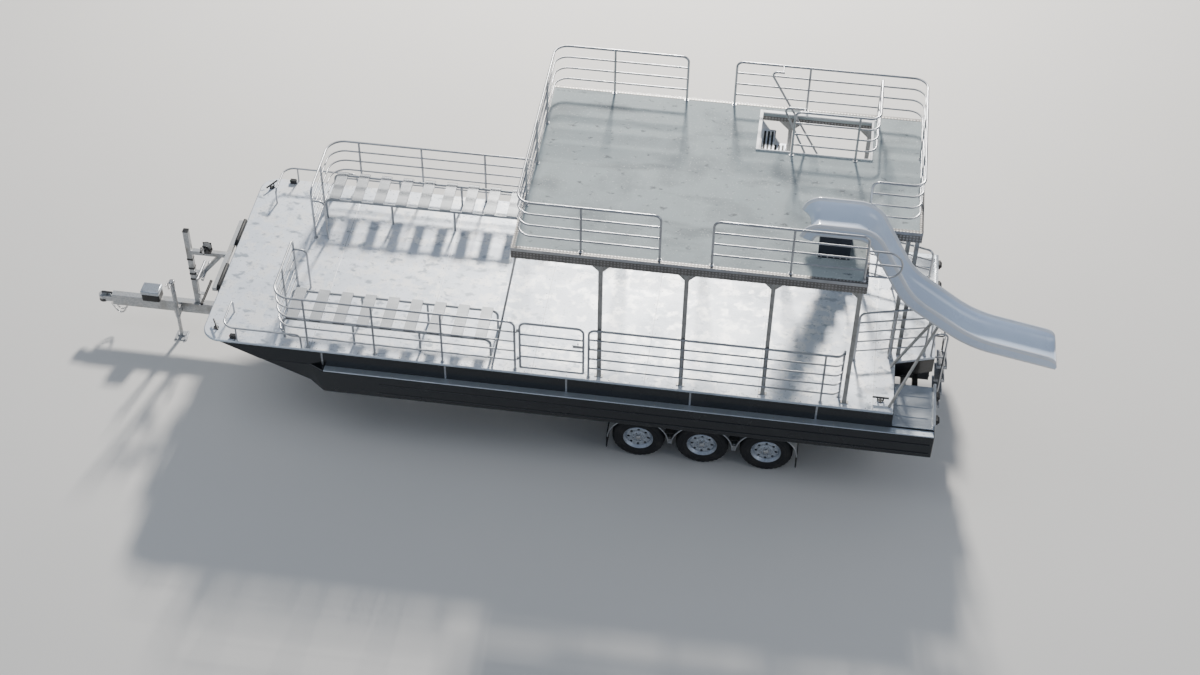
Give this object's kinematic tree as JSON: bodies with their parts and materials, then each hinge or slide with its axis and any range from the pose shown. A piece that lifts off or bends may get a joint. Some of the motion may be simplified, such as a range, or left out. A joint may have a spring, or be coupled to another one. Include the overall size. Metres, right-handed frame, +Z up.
{
  "type": "pontoon boat on a trailer",
  "caption": "Double-deck pontoon boat with railed decks, a water slide and stairs, parked on a road trailer with turning wheels, side gates and a hinged boarding ladder.",
  "frame": {"origin": "on the ground, midway along and across the whole: under the middle of the main deck", "axes": "+X aft along the keels, from the coupler towards the slide's lip; +Y to starboard; +Z up"},
  "size_m": [14.33, 3.82, 4.863],
  "materials": {
    "hull_black": "gloss",
    "aluminium": "satin",
    "deck_plate": "satin",
    "grey_floor": "matte",
    "slide_shell": "gloss",
    "base_dark": "satin",
    "bunk_carpet": "matte",
    "black_plastic": "matte",
    "black_rubber": "matte",
    "lamp_red": "gloss",
    "galvanised": "satin",
    "tyre": "matte"
  },
  "bodies": {
    "hull_and_trailer": {"port_pontoon": "hull_black", "starboard_pontoon": "hull_black", "hull_skirts": "hull_black", "deck_crossbeams": "aluminium", "main_deck": "deck_plate", "stern_steps": "deck_plate", "motor_pod": "hull_black", "mooring_cleats": "hull_black", "bow_rails": "aluminium", "side_rails": "aluminium", "stern_rails": "aluminium", "bow_grab_rails": "aluminium", "benches": "aluminium", "upper_deck_posts": "aluminium", "upper_deck_beams": "aluminium", "upper_deck_joists": "aluminium", "upper_deck": "grey_floor", "front_struts": "aluminium", "upper_front_rail": "aluminium", "upper_port_rail": "aluminium", "upper_starboard_rail": "aluminium", "hatch_rail": "aluminium", "stairs": "aluminium", "stair_handrails": "aluminium", "slide": "slide_shell", "slide_base": "base_dark", "slide_braces": "aluminium", "ladder_handrails": "aluminium", "trailer_tongue": "galvanised", "frame_rails": "galvanised", "cross_members": "galvanised", "bunks": "bunk_carpet", "axles": "galvanised", "leaf_springs": "galvanised", "fenders": "galvanised", "winch_post": "galvanised", "winch": "black_plastic", "bow_stop_pads": "black_rubber", "coupler": "galvanised", "brake_actuator": "black_plastic", "tongue_jack": "galvanised", "tail_lamps": "lamp_red"},
    "front_port_wheel": {"front_port_rim": "galvanised", "front_port_tyre": "tyre"},
    "front_starboard_wheel": {"front_starboard_rim": "galvanised", "front_starboard_tyre": "tyre"},
    "middle_port_wheel": {"middle_port_rim": "galvanised", "middle_port_tyre": "tyre"},
    "middle_starboard_wheel": {"middle_starboard_rim": "galvanised", "middle_starboard_tyre": "tyre"},
    "rear_port_wheel": {"rear_port_rim": "galvanised", "rear_port_tyre": "tyre"},
    "rear_starboard_wheel": {"rear_starboard_rim": "galvanised", "rear_starboard_tyre": "tyre"},
    "port_gate": {"port_gate": "aluminium"},
    "starboard_gate": {"starboard_gate": "aluminium"},
    "boarding_ladder": {"boarding_ladder": "aluminium"}
  },
  "joints": [
    {"name": "front_port_wheel_spin", "type": "hinge", "parent": "hull_and_trailer", "child": "front_port_wheel", "pos_m": [1.465, -1.4725, 0.388], "axis": [0, 1, 0], "continuous": true},
    {"name": "front_starboard_wheel_spin", "type": "hinge", "parent": "hull_and_trailer", "child": "front_starboard_wheel", "pos_m": [1.465, 1.4725, 0.388], "axis": [0, 1, 0], "continuous": true},
    {"name": "middle_port_wheel_spin", "type": "hinge", "parent": "hull_and_trailer", "child": "middle_port_wheel", "pos_m": [2.4, -1.4725, 0.388], "axis": [0, 1, 0], "continuous": true},
    {"name": "middle_starboard_wheel_spin", "type": "hinge", "parent": "hull_and_trailer", "child": "middle_starboard_wheel", "pos_m": [2.4, 1.4725, 0.388], "axis": [0, 1, 0], "continuous": true},
    {"name": "rear_port_wheel_spin", "type": "hinge", "parent": "hull_and_trailer", "child": "rear_port_wheel", "pos_m": [3.335, -1.4725, 0.388], "axis": [0, 1, 0], "continuous": true},
    {"name": "rear_starboard_wheel_spin", "type": "hinge", "parent": "hull_and_trailer", "child": "rear_starboard_wheel", "pos_m": [3.335, 1.4725, 0.388], "axis": [0, 1, 0], "continuous": true},
    {"name": "port_gate_hinge", "type": "hinge", "parent": "hull_and_trailer", "child": "port_gate", "pos_m": [-0.265, -1.75, 2.21], "axis": [0, 0, 1], "range_deg": [0, 95]},
    {"name": "starboard_gate_hinge", "type": "hinge", "parent": "hull_and_trailer", "child": "starboard_gate", "pos_m": [-0.265, 1.75, 2.21], "axis": [0, 0, -1], "range_deg": [0, 95]},
    {"name": "boarding_ladder_hinge", "type": "hinge", "parent": "hull_and_trailer", "child": "boarding_ladder", "pos_m": [5.715, -0.375, 1.72], "axis": [0, -1, 0], "range_deg": [0, 170]}
  ]
}
